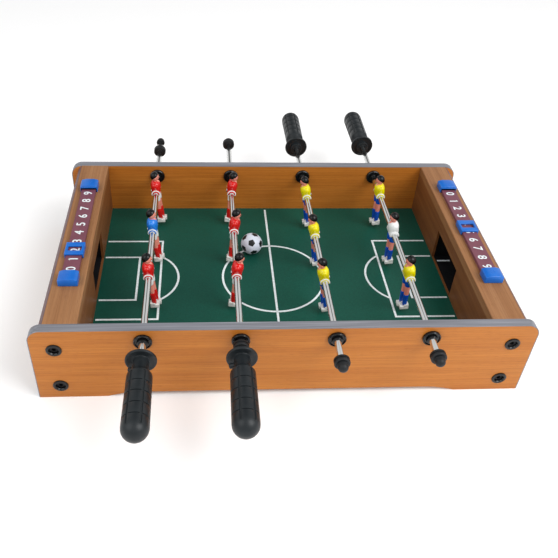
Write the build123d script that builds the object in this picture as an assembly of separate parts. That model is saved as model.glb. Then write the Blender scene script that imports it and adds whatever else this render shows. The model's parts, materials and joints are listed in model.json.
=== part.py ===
from build123d import *
import os
from math import cos, radians, sin, sqrt

# Tabletop football table. Millimetres, +Z up.
# X runs from goal to goal, Y along the rods, and the tabletop that it stands on is Z = 0.
# Everything is drawn about the middle of the cabinet and then moved along Y as a whole,
# so that the origin ends up under the middle of the table with its handles.

# ---------------------------------------------------------------- driving dimensions
TABLE_LENGTH = 510.0        # side boards, goal to goal
TABLE_WIDTH = 312.0         # over both side boards
TABLE_HEIGHT = 96.0
BOARD = 10.0                # side board thickness
BAND = 0.8                  # edge band on the side boards
CORNER_RADIUS = 14.0        # upper corners of the side boards
FOOT_LENGTH = 70.0          # foot at each end of a side board
FOOT_HEIGHT = 6.0           # daylight under a side board between its feet
FOOT_RUNOUT = 35.0          # length of the curve from foot to daylight

FIELD_LENGTH = 414.0        # between the two goal walls
FIELD_TOP = 29.0            # height of the playing surface
FIELD_BOARD = 3.0
RAIL = 12.0                 # square battens that carry the field
END_DEPTH = 38.0            # goal wall to the outer face of an end
END_TOP = TABLE_HEIGHT      # the end tops lie flush with the side boards
END_BOARD = 10.0            # end top and end wall thickness
END_NOSE_RADIUS = 1.0       # rounded inner edge of the end top
END_BEVEL_RUN = 4.5
END_BEVEL_DROP = 5.0
GOAL_PANEL = 3.0            # thin wall with the goal mouth
GOAL_PANEL_BOTTOM = 10.0
GOAL_WIDTH = 77.0
GOAL_HEIGHT = 41.0
CUP_WALL = 1.6
CUP_MARGIN = 3.0            # how far the goal cup is wider than the mouth, each way
POST = 22.0                 # square corner posts that the bolts bite into

BOLT_INSET = 24.0           # bolt line to the end of the side board
BOLT_LOW = 18.0
BOLT_HIGH = 70.0
BOLT_RADIUS = 2.5
BOLT_FIT = 0.1              # radial clearance of a bolt in board, washer and post
BOLT_LENGTH = 34.0
BOLT_HEAD_RADIUS = 4.2
BOLT_HEAD = 3.0
BOLT_SINK = 1.0             # bolt head under the face of the board
SOCKET_RADIUS = 2.3
SOCKET_DEPTH = 1.6
WASHER_RADIUS = 7.8
WASHER_BODY_RADIUS = 6.0
WASHER_LIP = 1.4
WASHER_DEPTH = 6.0
HEAD_FIT = 0.3              # radial air round a bolt head in its washer

ROD_SPACING = 96.0
ROD_HEIGHT = 81.0
ROD_RADIUS = 3.5
ROD_BEYOND = 110.5          # how much longer than the table is wide, from flange to cap
ROD_IN_HANDLE = 62.0
RUNNING_FIT = 0.05          # radial clearance of a rod in its bushes and bumpers
PLAYER_SPACING = 82.0

BUSH_FLANGE_RADIUS = 9.3
BUSH_FLANGE = 3.0
BUSH_NOSE = 5.0             # how far a bush stands out of the board
BUSH_NOSE_RADIUS = 5.6
BUSH_DISH = 1.2
BUSH_RIM = 1.3
SLEEVE_RADIUS = 5.2
SLEEVE_FIT = 0.1            # radial clearance of the sleeve in board and collar

FLANGE_RADIUS = 15.3
FLANGE = 3.0
FLANGE_DISH = 0.9
FLANGE_RIM = 1.6
HUB_RADIUS = 7.7
HUB = 4.0
HUB_BOSS_RADIUS = 5.2
HUB_BOSS = 1.2
NECK_RADIUS = 8.0
NECK_END = 14.0             # measured outwards from the middle of the flange
GRIP_START = 20.0
GRIP_RADIUS_NEAR = 12.3
GRIP_RADIUS_FAR = 12.9
DOME_START = 78.0
GRIP_FLATS = 6              # one of them faces up
GRIP_FLAT_DEPTH = 0.45
HANDLE_FIT = 0.05           # glue gap round the rod
LUG_OUT = 7.0               # grub screw lug, outwards from the flange
LUG_RADIUS = 2.7
LUG_REACH = 12.9
LUG_ANGLE = 205.0           # round the rod, from +X towards +Z

CAP_RADIUS = 5.2
CAP_LENGTH = 8.0
CAP_END = 2.0
CAP_ROUND = 1.8
RING_RADIUS = 8.0
RING_LENGTH = 7.0
RING_GROOVE = 0.8
RING_GROOVE_WIDTH = 1.2
RING_ROUND = 1.2
CAP_RING_GAP = 0.3

SCREW_RADIUS = 1.1
SCREW_HEAD_RADIUS = 2.1
SCREW_HEAD = 1.3
SCREW_BITE = 1.5            # how far a screw reaches past the middle of the rod
SCREW_FIT = 0.05
SCREW_SLOT = 0.5
GRUB_SINK = 1.5             # grub screw under the end of its lug

BODY_BOSS_RADIUS = 5.4      # hips round the rod
BODY_BOSS_HALF = 8.0
CHEST_HALF_WIDTH = 9.6
CHEST_HALF_DEPTH = 6.8
CHEST_HEIGHT = 9.5          # above the rod
WAIST_HALF_WIDTH = 8.2
WAIST_HALF_DEPTH = 6.4
WAIST_HEIGHT = -2.0
SHOULDER_HALF_WIDTH = 4.6
SHOULDER_HALF_DEPTH = 3.9
SHOULDER_HEIGHT = 15.0
NECK_TOP = 19.0
NECK_HALF = 3.2
HEAD_RADIUS = 6.4
HEAD_HEIGHT = 22.4
LEG_RADIUS_TOP = 3.6
LEG_RADIUS_BOTTOM = 2.7
LEG_HALF_GAP = 3.2          # each leg's middle to the middle of the figure
HIP_HEIGHT = -3.0
LEG_LEAN = 2.0              # ankle ahead of hip
FOOT_BOTTOM = -46.2
FOOT_THICK = 4.8
FOOT_STEP = 2.2             # raised instep block
SHOE_WIDTH = 6.0
SHOE_LENGTH = 10.0
SHOE_STEP_LENGTH = 6.0
SHOE_TOE_REAR = 7.3         # toe of the rear shoe ahead of the rod
STRIDE = 2.0                # how far the +Y leg is ahead of the other

STRIP_WIDTH = 17.0          # score strips
STRIP_THICK = 4.0
STRIP_NEAR = -87.0
STRIP_FAR = 95.7
LEFT_STRIP_X = -223.7
RIGHT_STRIP_X = 226.0
SCORE_CAP_WIDTH = 20.5
SCORE_CAP_LENGTH = 16.0
SCORE_CAP_NEAR_Y = -83.4
SCORE_CAP_FAR_Y = 91.7
SCORE_CAP_SIDE = 8.0        # height at its sides
SCORE_CAP_CROWN = 9.6
SCORE_CAP_END_WALL = 3.5
SCORE_CHANNEL_ROOM = 1.3    # air over the strip inside a cap
MARKER_WIDTH = 20.5
MARKER_LENGTH = 21.0
MARKER_TOP = 2.6
MARKER_WINDOW_X = 14.6
MARKER_WINDOW_Y = 8.0
LEFT_MARKER_Y = -35.2
RIGHT_MARKER_Y = 5.0
SLIDE_FIT = 0.2             # marker and caps round the strip

BALL_RADIUS = 13.4
BALL_X = -24.0
BALL_GAP = 0.5              # ball to the swing of the nearest shoe
BALL_LIFT = 0.2             # ball to the playing surface

# ---------------------------------------------------------------- rods as they stand at rest
# handle: side that the handle is on; tilt: heads towards +X in degrees; stands_out: the
# handle's flange beyond the outer face of the nearer side board; middle: Y of the middle
# figure; slipped: how far the far bumper has slid along from its cap; stop_ring: whether a
# second bumper sits between the handle and the board.
RODS = {
    1: dict(handle=-1, tilt=-3.3, stands_out=25.5, middle=28.6, slipped=18.7, stop_ring=False),
    2: dict(handle=-1, tilt=7.2, stands_out=24.0, middle=28.9, slipped=0.0, stop_ring=True),
    3: dict(handle=1, tilt=-10.8, stands_out=67.5, middle=19.3, slipped=0.0, stop_ring=False),
    4: dict(handle=1, tilt=-4.7, stands_out=72.5, middle=22.3, slipped=0.0, stop_ring=False),
}
STOP_RING_OUT = 9.6         # middle of a stop ring beyond the outer face of the board
BALL_ROD = 2                # the ball lies just beyond this rod's middle figure

# ---------------------------------------------------------------- derived places
INNER = TABLE_WIDTH / 2 - BOARD             # inner face of a side board
OUTER = TABLE_WIDTH / 2                     # outer face of a side board
GOAL_X = FIELD_LENGTH / 2                   # face of a goal wall
END_X = GOAL_X + END_DEPTH                  # outer face of an end
END_UNDER = END_TOP - END_BOARD
CUP_DEPTH = END_DEPTH - GOAL_PANEL - END_BOARD
HANDLE_END = DOME_START + GRIP_RADIUS_FAR   # outwards from the flange
ROD_REACH = TABLE_WIDTH + ROD_BEYOND        # handle flange to the outer end of the rod cap
RING_FROM_FLANGE = ROD_REACH - CAP_LENGTH - CAP_RING_GAP - RING_LENGTH / 2
FRONT_TIP = OUTER + max(r["stands_out"] for r in RODS.values() if r["handle"] < 0) + HANDLE_END
BACK_TIP = OUTER + max(r["stands_out"] for r in RODS.values() if r["handle"] > 0) + HANDLE_END
TABLE_Y = (FRONT_TIP - BACK_TIP) / 2        # puts the origin midway between the tips
BALL_Y = RODS[BALL_ROD]["middle"] + SHOE_WIDTH + BALL_GAP + BALL_RADIUS

parts = {}


def block(x0, x1, y0, y1, z0, z1):
    """A box between two corners."""
    middle = Pos((x0 + x1) / 2, (y0 + y1) / 2, (z0 + z1) / 2)
    return middle * Box(x1 - x0, y1 - y0, z1 - z0)


def rod_x(number):
    return (number - 2.5) * ROD_SPACING


def flange_y(rod):
    """Y of the middle of a rod's handle flange."""
    return rod["handle"] * (OUTER + rod["stands_out"])


def along_y(radius, y0, y1, x=0.0, z=0.0):
    """A round bar along Y between two places."""
    return Pos(x, (y0 + y1) / 2, z) * Rot(90, 0, 0) * Cylinder(radius, abs(y1 - y0))


def turned(points, x=0.0, y=0.0, z=0.0, outwards=1):
    """A solid of revolution about a line along Y. Points are (distance outwards, radius)."""
    outline = Polyline([(radius, outwards * out) for out, radius in points], close=True)
    return Pos(x, y, z) * revolve(make_face(outline), Axis.Y)


# ---------------------------------------------------------------- side boards
def board_outline(inset):
    """Side board seen from the front: rounded upper corners, feet, shallow arch."""
    end = TABLE_LENGTH / 2 - inset
    top = TABLE_HEIGHT - inset
    radius = CORNER_RADIUS - inset
    foot = TABLE_LENGTH / 2 - FOOT_LENGTH
    flat = foot - FOOT_RUNOUT
    curve = (FOOT_RUNOUT**2 + FOOT_HEIGHT**2) / (2 * FOOT_HEIGHT)
    half = FOOT_RUNOUT / 2
    lift = FOOT_HEIGHT - curve + sqrt(curve**2 - half**2)
    corner = radius * (1 - cos(radians(45)))
    return [
        Line((-flat, FOOT_HEIGHT), (flat, FOOT_HEIGHT)),
        ThreePointArc((flat, FOOT_HEIGHT), (flat + half, lift), (foot, 0)),
        Line((foot, 0), (end, 0)),
        Line((end, 0), (end, top - radius)),
        ThreePointArc((end, top - radius), (end - corner, top - corner), (end - radius, top)),
        Line((end - radius, top), (radius - end, top)),
        ThreePointArc((radius - end, top), (corner - end, top - corner), (-end, top - radius)),
        Line((-end, top - radius), (-end, 0)),
        Line((-end, 0), (-foot, 0)),
        ThreePointArc((-foot, 0), (-flat - half, lift), (-flat, FOOT_HEIGHT)),
    ]


def board_slab(inset):
    """The board's outline as a slab from the front outer face inwards."""
    face = Plane.XZ * make_face(board_outline(inset))
    return Pos(0, -OUTER, 0) * extrude(face, BOARD, dir=(0, 1, 0))


def side_board():
    board = board_slab(BAND)
    for number in RODS:
        board -= along_y(SLEEVE_RADIUS + SLEEVE_FIT, -OUTER - 1, -INNER + 1, rod_x(number), ROD_HEIGHT)
    for x, z in bolt_places():
        board -= along_y(WASHER_BODY_RADIUS, -OUTER - 1, -OUTER + WASHER_DEPTH, x, z)
        board -= bolt_hole(-OUTER - 1, -INNER + 1, x, z)
    return board


def bolt_places():
    line = TABLE_LENGTH / 2 - BOLT_INSET
    return [(x, z) for x in (-line, line) for z in (BOLT_LOW, BOLT_HIGH)]


def bolt_hole(y0, y1, x, z):
    return along_y(BOLT_RADIUS + BOLT_FIT, y0, y1, x, z)


def edge_band():
    """The band over the ends, the corners and the top of a side board."""
    under = block(-TABLE_LENGTH, TABLE_LENGTH, -OUTER - 1, -INNER + 1, -TABLE_HEIGHT, 0)
    arch = TABLE_LENGTH / 2 - 2 * BAND
    below = block(-arch, arch, -OUTER - 1, -INNER + 1, -TABLE_HEIGHT, FOOT_HEIGHT + 1)
    return board_slab(0) - board_slab(BAND) - under - below


def front_and_back(name, solid):
    """A piece on the front board and its twin, turned half round, on the back board."""
    parts[f"{name}_front"] = solid
    parts[f"{name}_back"] = Rot(0, 0, 180) * solid


front_and_back("side_board", side_board())
front_and_back("edge_band", edge_band())


# ---------------------------------------------------------------- ends and goals
def end_top():
    """Flat top of an end, with a rounded nose over the goal and a bevel outside."""
    nose = END_NOSE_RADIUS
    corner = nose * (1 - cos(radians(45)))
    outline = [
        Line((GOAL_X, END_UNDER), (END_X, END_UNDER)),
        Line((END_X, END_UNDER), (END_X, END_TOP - END_BEVEL_DROP)),
        Line((END_X, END_TOP - END_BEVEL_DROP), (END_X - END_BEVEL_RUN, END_TOP)),
        Line((END_X - END_BEVEL_RUN, END_TOP), (GOAL_X + nose, END_TOP)),
        ThreePointArc((GOAL_X + nose, END_TOP), (GOAL_X + corner, END_TOP - corner),
                      (GOAL_X, END_TOP - nose)),
        Line((GOAL_X, END_TOP - nose), (GOAL_X, END_UNDER)),
    ]
    face = Plane.XZ * make_face(outline)
    return Pos(0, -INNER, 0) * extrude(face, 2 * INNER, dir=(0, 1, 0))


def goal_panel():
    panel = block(GOAL_X, GOAL_X + GOAL_PANEL, -INNER, INNER, GOAL_PANEL_BOTTOM, END_UNDER)
    half = GOAL_WIDTH / 2
    mouth = block(GOAL_X - 1, GOAL_X + GOAL_PANEL + 1, -half, half, FIELD_TOP, FIELD_TOP + GOAL_HEIGHT)
    return panel - mouth


def goal_cup():
    """Open-fronted black box behind the goal mouth."""
    x0 = GOAL_X + GOAL_PANEL
    half = GOAL_WIDTH / 2 + CUP_MARGIN
    top = FIELD_TOP + GOAL_HEIGHT + CUP_MARGIN
    cup = block(x0, x0 + CUP_DEPTH, -half, half, FIELD_TOP - CUP_WALL, top)
    hollow_half = half - CUP_WALL
    hollow = block(x0 - 1, x0 + CUP_DEPTH - CUP_WALL, -hollow_half, hollow_half,
                   FIELD_TOP, top - CUP_WALL)
    return cup - hollow


def end_wall():
    return block(END_X - END_BOARD, END_X, -INNER, INNER, FOOT_HEIGHT, END_UNDER)


def corner_posts():
    """Two upright blocks in an end, behind the ends of the goal panel."""
    inner = GOAL_X + GOAL_PANEL
    outer = END_X - END_BOARD
    posts = None
    for side in (-1, 1):
        y0, y1 = sorted((side * INNER, side * (INNER - POST)))
        post = block(inner, outer, y0, y1, FOOT_HEIGHT, END_UNDER)
        for x, z in bolt_places():
            post -= bolt_hole(y0 - 1, y1 + 1, x, z)
        posts = post if posts is None else posts + post
    return posts


def left_and_right(name, solid):
    """A piece of the right end and its twin, turned half round, in the left end."""
    parts[f"{name}_right"] = solid
    parts[f"{name}_left"] = Rot(0, 0, 180) * solid


left_and_right("end_top", end_top())
left_and_right("goal_panel", goal_panel())
left_and_right("goal_cup", goal_cup())
left_and_right("end_wall", end_wall())
left_and_right("corner_posts", corner_posts())

parts["playfield"] = block(-GOAL_X, GOAL_X, -INNER, INNER, FIELD_TOP - FIELD_BOARD, FIELD_TOP)
rail_top = FIELD_TOP - FIELD_BOARD
front_rail = block(-GOAL_X, GOAL_X, -INNER, RAIL - INNER, rail_top - RAIL, rail_top)
parts["field_rails"] = front_rail + Rot(0, 0, 180) * front_rail


# ---------------------------------------------------------------- corner bolts
def bolt_washer(x, z):
    """Black cup washer let into the board, with a dished face."""
    well = BOLT_HEAD_RADIUS + HEAD_FIT
    washer = turned([(-WASHER_DEPTH, 0), (-WASHER_DEPTH, WASHER_BODY_RADIUS), (0, WASHER_BODY_RADIUS),
                     (0, WASHER_RADIUS), (WASHER_LIP * 0.6, WASHER_RADIUS),
                     (WASHER_LIP, WASHER_RADIUS - 1), (WASHER_LIP, well + 0.7),
                     (0.2, well), (-BOLT_HEAD - BOLT_SINK, well), (-BOLT_HEAD - BOLT_SINK, 0)],
                    x, -OUTER, z, -1)
    return washer - bolt_hole(-OUTER - 2, -INNER, x, z)


def bolt(x, z):
    """Steel bolt with a round socket head at the bottom of its washer."""
    seat = -OUTER + BOLT_HEAD + BOLT_SINK
    head = along_y(BOLT_HEAD_RADIUS, seat - BOLT_HEAD, seat, x, z)
    hexagon = extrude(RegularPolygon(SOCKET_RADIUS, 6), SOCKET_DEPTH, both=True)
    socket = Pos(x, seat - BOLT_HEAD, z) * Rot(90, 0, 0) * hexagon
    return head - socket + along_y(BOLT_RADIUS, seat, seat + BOLT_LENGTH, x, z)


def group(solids):
    """A group of separate solids in one node."""
    return Compound(list(solids))


def both_boards(solids):
    """Pieces of the front board and their twins, turned half round, on the back board."""
    return group(solids + [Rot(0, 0, 180) * s for s in solids])


parts["bolt_washers"] = both_boards([bolt_washer(x, z) for x, z in bolt_places()])
parts["corner_bolts"] = both_boards([bolt(x, z) for x, z in bolt_places()])


# ---------------------------------------------------------------- rod bushes
def bush_face(start):
    """Outline of the part of a bush that stands out of the board, as (out, radius)."""
    rim = BUSH_FLANGE_RADIUS - BUSH_RIM
    return [(start, BUSH_FLANGE_RADIUS), (start + BUSH_FLANGE - 0.8, BUSH_FLANGE_RADIUS),
            (start + BUSH_FLANGE, BUSH_FLANGE_RADIUS - 0.8), (start + BUSH_FLANGE, rim),
            (start + BUSH_FLANGE - BUSH_DISH, rim - 0.6),
            (start + BUSH_FLANGE - BUSH_DISH, BUSH_NOSE_RADIUS + 0.4),
            (start + BUSH_NOSE - 0.6, BUSH_NOSE_RADIUS),
            (start + BUSH_NOSE, BUSH_NOSE_RADIUS - 0.6)]


def bush_sleeve(number):
    """Flanged sleeve through the front board, pushed in from outside."""
    bore = ROD_RADIUS + RUNNING_FIT
    profile = [(BUSH_NOSE, bore), (-BOARD - BUSH_NOSE, bore), (-BOARD - BUSH_NOSE, SLEEVE_RADIUS),
               (0, SLEEVE_RADIUS)] + bush_face(0)
    return turned(profile, rod_x(number), -OUTER, ROD_HEIGHT, -1)


def bush_collar(number):
    """Collar pushed over the sleeve on the inside of the front board."""
    bore = SLEEVE_RADIUS + SLEEVE_FIT
    face = bush_face(0)
    profile = [(0, bore)] + face[:-2] + [(BUSH_FLANGE - BUSH_DISH, bore)]
    return turned(profile, rod_x(number), -INNER, ROD_HEIGHT, 1)


parts["bush_sleeves"] = both_boards([bush_sleeve(n) for n in RODS])
parts["bush_collars"] = both_boards([bush_collar(n) for n in RODS])


# ---------------------------------------------------------------- score counters
def score_strip(x):
    return block(x - STRIP_WIDTH / 2, x + STRIP_WIDTH / 2, STRIP_NEAR, STRIP_FAR,
                 END_TOP, END_TOP + STRIP_THICK)


def score_cap(x, y, closed):
    """Cap with a crowned top over one end of a strip; closed is the side of its end wall."""
    half = SCORE_CAP_WIDTH / 2
    side = END_TOP + SCORE_CAP_SIDE
    outline = [Line((x - half, END_TOP), (x + half, END_TOP)),
               Line((x + half, END_TOP), (x + half, side)),
               ThreePointArc((x + half, side), (x, END_TOP + SCORE_CAP_CROWN), (x - half, side)),
               Line((x - half, side), (x - half, END_TOP))]
    near = y - SCORE_CAP_LENGTH / 2
    cap = Pos(0, near, 0) * extrude(Plane.XZ * make_face(outline), SCORE_CAP_LENGTH, dir=(0, 1, 0))
    room = STRIP_WIDTH / 2 + SLIDE_FIT
    y0, y1 = sorted((y + closed * (SCORE_CAP_LENGTH / 2 - SCORE_CAP_END_WALL),
                     y - closed * SCORE_CAP_LENGTH))
    return cap - block(x - room, x + room, y0, y1, END_TOP - 1, END_TOP + STRIP_THICK + SCORE_CHANNEL_ROOM)


def score_marker(x, y):
    """Sliding frame with a window that straddles the strip."""
    half_x = MARKER_WIDTH / 2
    half_y = MARKER_LENGTH / 2
    room = STRIP_WIDTH / 2 + SLIDE_FIT
    under = END_TOP + STRIP_THICK + SLIDE_FIT
    frame = block(x - half_x, x + half_x, y - half_y, y + half_y, END_TOP + SLIDE_FIT, under + MARKER_TOP)
    frame -= block(x - room, x + room, y - half_y - 1, y + half_y + 1, END_TOP, under)
    frame -= block(x - MARKER_WINDOW_X / 2, x + MARKER_WINDOW_X / 2,
                   y - MARKER_WINDOW_Y / 2, y + MARKER_WINDOW_Y / 2, under - 1, under + MARKER_TOP + 1)
    return frame


for side, x, marker_y in (("left", LEFT_STRIP_X, LEFT_MARKER_Y), ("right", RIGHT_STRIP_X, RIGHT_MARKER_Y)):
    parts[f"score_strip_{side}"] = score_strip(x)
    caps = [score_cap(x, SCORE_CAP_NEAR_Y, -1), score_cap(x, SCORE_CAP_FAR_Y, 1)]
    parts[f"score_caps_{side}"] = group(caps)
    parts[f"score_marker_{side}"] = score_marker(x, marker_y)


# ---------------------------------------------------------------- rods, handles, caps, bumpers
# Each rod is drawn with its axis along Y, its handle flange at Y = 0 and the handle on the
# -Y side, and is then turned to its side of the table and to its tilt.
def handle():
    """Moulded handle: hub, dished flange, neck, grip with flats and domed end."""
    dome = [(DOME_START + GRIP_RADIUS_FAR * sin(radians(a)), GRIP_RADIUS_FAR * cos(radians(a)))
            for a in range(0, 90, 10)]
    half = FLANGE / 2
    body = turned([(-half - HUB - HUB_BOSS, 0), (-half - HUB - HUB_BOSS, HUB_BOSS_RADIUS),
                   (-half - HUB, HUB_BOSS_RADIUS), (-half - HUB, HUB_RADIUS),
                   (FLANGE_DISH - half, HUB_RADIUS),
                   (FLANGE_DISH - half, FLANGE_RADIUS - 2 * FLANGE_RIM),
                   (-half, FLANGE_RADIUS - FLANGE_RIM), (-half, FLANGE_RADIUS - 0.6),
                   (0.6 - half, FLANGE_RADIUS), (half - 0.6, FLANGE_RADIUS), (half, FLANGE_RADIUS - 0.6),
                   (half, NECK_RADIUS), (NECK_END, NECK_RADIUS), (GRIP_START, GRIP_RADIUS_NEAR)]
                  + dome + [(HANDLE_END, 0)], outwards=-1)
    across = GRIP_RADIUS_FAR - GRIP_FLAT_DEPTH
    turn = 90 + 180 / GRIP_FLATS
    flats = RegularPolygon(across, GRIP_FLATS, major_radius=False, rotation=turn)
    prism = Rot(90, 0, 0) * extrude(flats, HANDLE_END + 1)
    ring = along_y(FLANGE_RADIUS + 1, -NECK_END, HUB + HUB_BOSS + FLANGE)
    body = body & (prism + ring)
    lug = Rot(0, -LUG_ANGLE, 0) * Rot(0, 90, 0) * Pos(0, 0, LUG_REACH / 2) * Cylinder(LUG_RADIUS, LUG_REACH)
    body += Pos(0, -LUG_OUT, 0) * lug
    body -= along_y(ROD_RADIUS + HANDLE_FIT, -ROD_IN_HANDLE - 1, HUB + HUB_BOSS + FLANGE)
    return body - Pos(0, -LUG_OUT, 0) * screw_room(LUG_ANGLE, LUG_REACH)


def screw(angle, seat):
    """Pan-head screw that points at the rod, its head seated at a distance from the rod."""
    shank_length = seat + SCREW_BITE
    shank = Pos(0, 0, seat - shank_length / 2) * Cylinder(SCREW_RADIUS, shank_length)
    head = Pos(0, 0, seat + SCREW_HEAD / 2) * Cylinder(SCREW_HEAD_RADIUS, SCREW_HEAD)
    head = fillet(head.edges().group_by(Axis.Z)[-1], SCREW_HEAD * 0.6)
    slot = Pos(0, 0, seat + SCREW_HEAD) * Box(SCREW_HEAD_RADIUS * 1.4, SCREW_SLOT, 2 * SCREW_SLOT)
    return Rot(0, 90 - angle, 0) * (shank + head - slot)


def grub_screw():
    """Headless slotted screw that holds the handle, sunk in its lug."""
    top = LUG_REACH - GRUB_SINK
    shank = Pos(0, 0, (top - SCREW_BITE) / 2) * Cylinder(SCREW_RADIUS, top + SCREW_BITE)
    slot = Pos(0, 0, top) * Box(3 * SCREW_RADIUS, SCREW_SLOT, 2 * SCREW_SLOT)
    return Rot(0, 90 - LUG_ANGLE, 0) * (shank - slot)


def screw_room(angle, seat):
    """The hole for that screw through what it holds and into the rod."""
    length = seat + SCREW_BITE + 0.3
    hole = Pos(0, 0, seat + 0.1 - length / 2) * Cylinder(SCREW_RADIUS + SCREW_FIT, length + 0.2)
    return Rot(0, 90 - angle, 0) * hole


def figure_offsets(rod):
    """Where the three figures are along the rod, from the flange towards the far end."""
    middle = abs(rod["middle"] - flange_y(rod))
    return [middle + step * PLAYER_SPACING for step in (-1, 0, 1)]


def rod_bar(rod):
    start = -ROD_IN_HANDLE
    end = ROD_REACH - CAP_END
    bar = along_y(ROD_RADIUS, start, end)
    bar -= Pos(0, -LUG_OUT, 0) * screw_room(LUG_ANGLE, LUG_REACH)
    for y in figure_offsets(rod):
        bar -= Pos(0, y, 0) * screw_room(180, BODY_BOSS_RADIUS)
    return bar


def end_cap():
    y0 = ROD_REACH - CAP_LENGTH
    cap = along_y(CAP_RADIUS, y0, ROD_REACH)
    cap = fillet(cap.edges().group_by(Axis.Y)[-1], CAP_ROUND)
    lip = along_y(CAP_RADIUS + 0.4, y0, y0 + 1.2)
    return cap + lip - along_y(ROD_RADIUS + HANDLE_FIT, y0 - 1, ROD_REACH - CAP_END)


def bumper(y):
    """Rubber ring with a groove round its middle."""
    ring = along_y(RING_RADIUS, y - RING_LENGTH / 2, y + RING_LENGTH / 2)
    ring = fillet(ring.edges().filter_by(GeomType.CIRCLE), RING_ROUND)
    groove = along_y(RING_RADIUS + 1, y - RING_GROOVE_WIDTH / 2, y + RING_GROOVE_WIDTH / 2)
    groove -= along_y(RING_RADIUS - RING_GROOVE, y - RING_LENGTH, y + RING_LENGTH)
    return ring - groove - along_y(ROD_RADIUS + RUNNING_FIT, y - RING_LENGTH, y + RING_LENGTH)


# ---------------------------------------------------------------- figures
# Drawn looking along +X with the rod along Y through the hips. The +Y leg is the forward one.
def oval(half_depth, half_width, height):
    return Pos(0, 0, height) * Ellipse(half_depth, half_width)


def figure():
    chest = loft([oval(WAIST_HALF_DEPTH, WAIST_HALF_WIDTH, WAIST_HEIGHT),
                  oval(CHEST_HALF_DEPTH, CHEST_HALF_WIDTH, CHEST_HEIGHT),
                  oval(SHOULDER_HALF_DEPTH, SHOULDER_HALF_WIDTH, SHOULDER_HEIGHT)], ruled=True)
    hips = along_y(BODY_BOSS_RADIUS, -BODY_BOSS_HALF, BODY_BOSS_HALF)
    neck = block(-NECK_HALF, NECK_HALF, -NECK_HALF, NECK_HALF, SHOULDER_HEIGHT - 1, NECK_TOP)
    body = hips + chest + neck + Pos(0, 0, HEAD_HEIGHT) * Sphere(HEAD_RADIUS)
    for side, ahead in ((-1, 0.0), (1, STRIDE)):
        body += leg(side, ahead)
    body -= along_y(ROD_RADIUS + HANDLE_FIT, -BODY_BOSS_HALF - 1 - WAIST_HALF_WIDTH,
                    BODY_BOSS_HALF + 1 + WAIST_HALF_WIDTH)
    back = block(-CHEST_HALF_DEPTH - 1, -BODY_BOSS_RADIUS, -3, 3, -3, 3)
    return body - back - screw_room(180, BODY_BOSS_RADIUS)


def leg(side, ahead):
    """One leg and shoe; ahead is how far this foot is forward of the rear one."""
    sole = FOOT_BOTTOM + FOOT_THICK
    y = side * LEG_HALF_GAP
    hip = Pos(0.5 * ahead, y, HIP_HEIGHT) * Circle(LEG_RADIUS_TOP)
    ankle = Pos(LEG_LEAN + ahead, y, sole - 0.5) * Circle(LEG_RADIUS_BOTTOM)
    y0, y1 = sorted((0, side * SHOE_WIDTH))
    toe = SHOE_TOE_REAR + ahead
    shoe = block(toe - SHOE_LENGTH, toe, y0, y1, FOOT_BOTTOM, sole)
    heel = toe - SHOE_LENGTH
    instep = block(heel, heel + SHOE_STEP_LENGTH, y0, y1, sole - 0.5, sole + FOOT_STEP)
    return loft([hip, ankle], ruled=True) + shoe + instep


def placed(solid, number):
    """Moves a piece drawn on its own rod to that rod's place, side and tilt."""
    rod = RODS[number]
    half_turn = 180 if rod["handle"] > 0 else 0
    spot = Pos(rod_x(number), flange_y(rod), ROD_HEIGHT)
    return spot * Rot(0, rod["tilt"], 0) * Rot(0, 0, half_turn) * solid


plain_figure = figure()
plain_handle = handle()
for number, rod in RODS.items():
    far_ring = RING_FROM_FLANGE - rod["slipped"]
    rings = [bumper(far_ring)]
    if rod["stop_ring"]:
        rings.insert(0, bumper(rod["stands_out"] - STOP_RING_OUT))
    # a figure looks to +X on a rod with its handle in front, and the half turn of a rod
    # with its handle behind makes it look to -X; the stride stays with the +Y leg
    stance = plain_figure if rod["handle"] < 0 else plain_figure.mirror(Plane.XZ)
    screws = [Pos(0, -LUG_OUT, 0) * grub_screw()]
    for place, y in zip(("1", "2", "3"), figure_offsets(rod)):
        parts[f"player_{number}_{place}"] = placed(Pos(0, y, 0) * stance, number)
        screws.append(Pos(0, y, 0) * screw(180, BODY_BOSS_RADIUS))
    parts[f"rod_{number}"] = placed(rod_bar(rod), number)
    parts[f"handle_{number}"] = placed(plain_handle, number)
    parts[f"end_cap_{number}"] = placed(end_cap(), number)
    parts[f"bumpers_{number}"] = placed(group(rings), number)
    parts[f"screws_{number}"] = placed(group(screws), number)

# ---------------------------------------------------------------- ball
parts["ball"] = Pos(BALL_X, BALL_Y, FIELD_TOP + BALL_LIFT + BALL_RADIUS) * Sphere(BALL_RADIUS)

# ---------------------------------------------------------------- files
os.makedirs("parts", exist_ok=True)
for name, solid in parts.items():
    export_step(Pos(0, TABLE_Y, 0) * solid, os.path.join("parts", f"{name}.step"))
print(len(parts), "parts, cabinet middle at Y", round(TABLE_Y, 3))
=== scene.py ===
import json
from math import acos, atan2, cos, hypot, pi, radians, sin

import bmesh
import bpy
from mathutils import Matrix, Vector


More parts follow.
